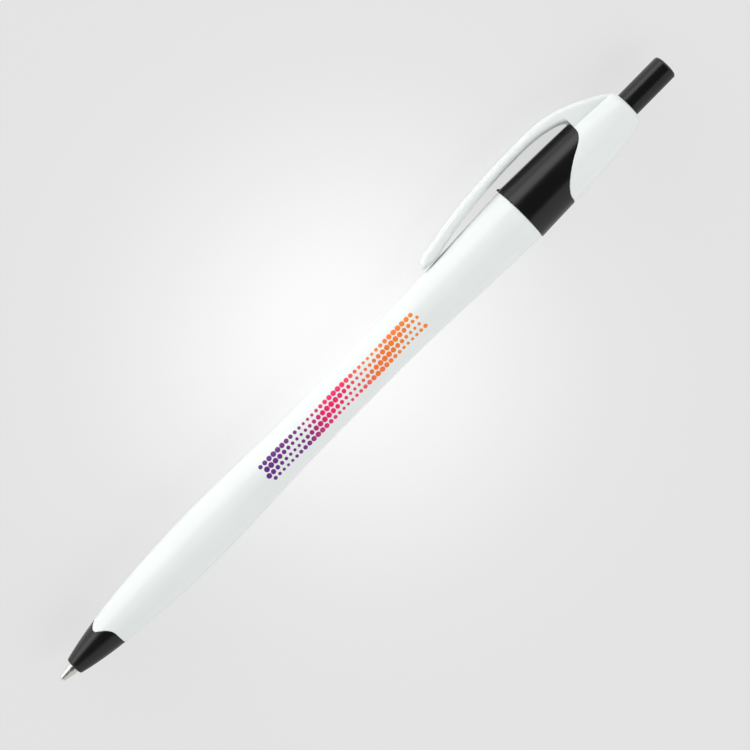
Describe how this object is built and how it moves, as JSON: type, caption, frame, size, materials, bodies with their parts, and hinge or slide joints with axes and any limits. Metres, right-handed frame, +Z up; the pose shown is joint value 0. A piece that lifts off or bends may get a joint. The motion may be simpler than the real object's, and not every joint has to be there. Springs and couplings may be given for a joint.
{
  "type": "ballpoint pen",
  "caption": "Click ballpoint pen with its point out: slim barrel with a grip swell, wavy black nose, black band, arched clip and push button.",
  "frame": {"origin": "on the table, under the middle of the pen's outline, with the pen lying on its band and clip", "axes": "+X along the pen towards the push button, +Y towards the clip, +Z up"},
  "size_m": [0.146, 0.0144, 0.0108],
  "materials": {
    "white_plastic": "gloss",
    "black_plastic": "gloss",
    "inner_plastic": "satin",
    "spring_steel": "bright wire",
    "tube_plastic": "gloss, translucent on the real object",
    "nickel_silver": "turned, bright",
    "ball_metal": "polished",
    "ink": "stands in for a liquid",
    "grease": "stands in for a gel"
  },
  "bodies": {
    "barrel": {"nose_cone": "black_plastic", "lower_barrel": "white_plastic", "center_band": "black_plastic", "upper_barrel": "white_plastic", "cam_guide": "inner_plastic", "return_spring": "spring_steel"},
    "button": {"push_button": "black_plastic"},
    "refill": {"refill_tube": "tube_plastic", "metal_tip": "nickel_silver", "ink_column": "ink", "ink_follower": "grease"},
    "cam": {"cam_rotor": "inner_plastic"},
    "ball": {"writing_ball": "ball_metal"}
  },
  "joints": [
    {"name": "button_slide", "type": "slide", "parent": "barrel", "child": "button", "axis": [1, 0, 0], "range_m": [-0.0012, 0.0048]},
    {"name": "refill_slide", "type": "slide", "parent": "barrel", "child": "refill", "axis": [1, 0, 0], "range_m": [-0.0012, 0.0048], "deforming": ["return_spring"]},
    {"name": "cam_turn", "type": "hinge", "parent": "refill", "child": "cam", "pos_m": [0.04, -0.00183, 0.0054], "axis": [1, 0, 0], "continuous": true},
    {"name": "ball_roll", "type": "hinge", "parent": "refill", "child": "ball", "pos_m": [-0.0725, -0.00183, 0.0054], "axis": [0, 1, 0], "continuous": true}
  ],
  "couplings": [
    {"joint": "button_slide", "follows": "refill_slide", "ratio": 1}
  ]
}
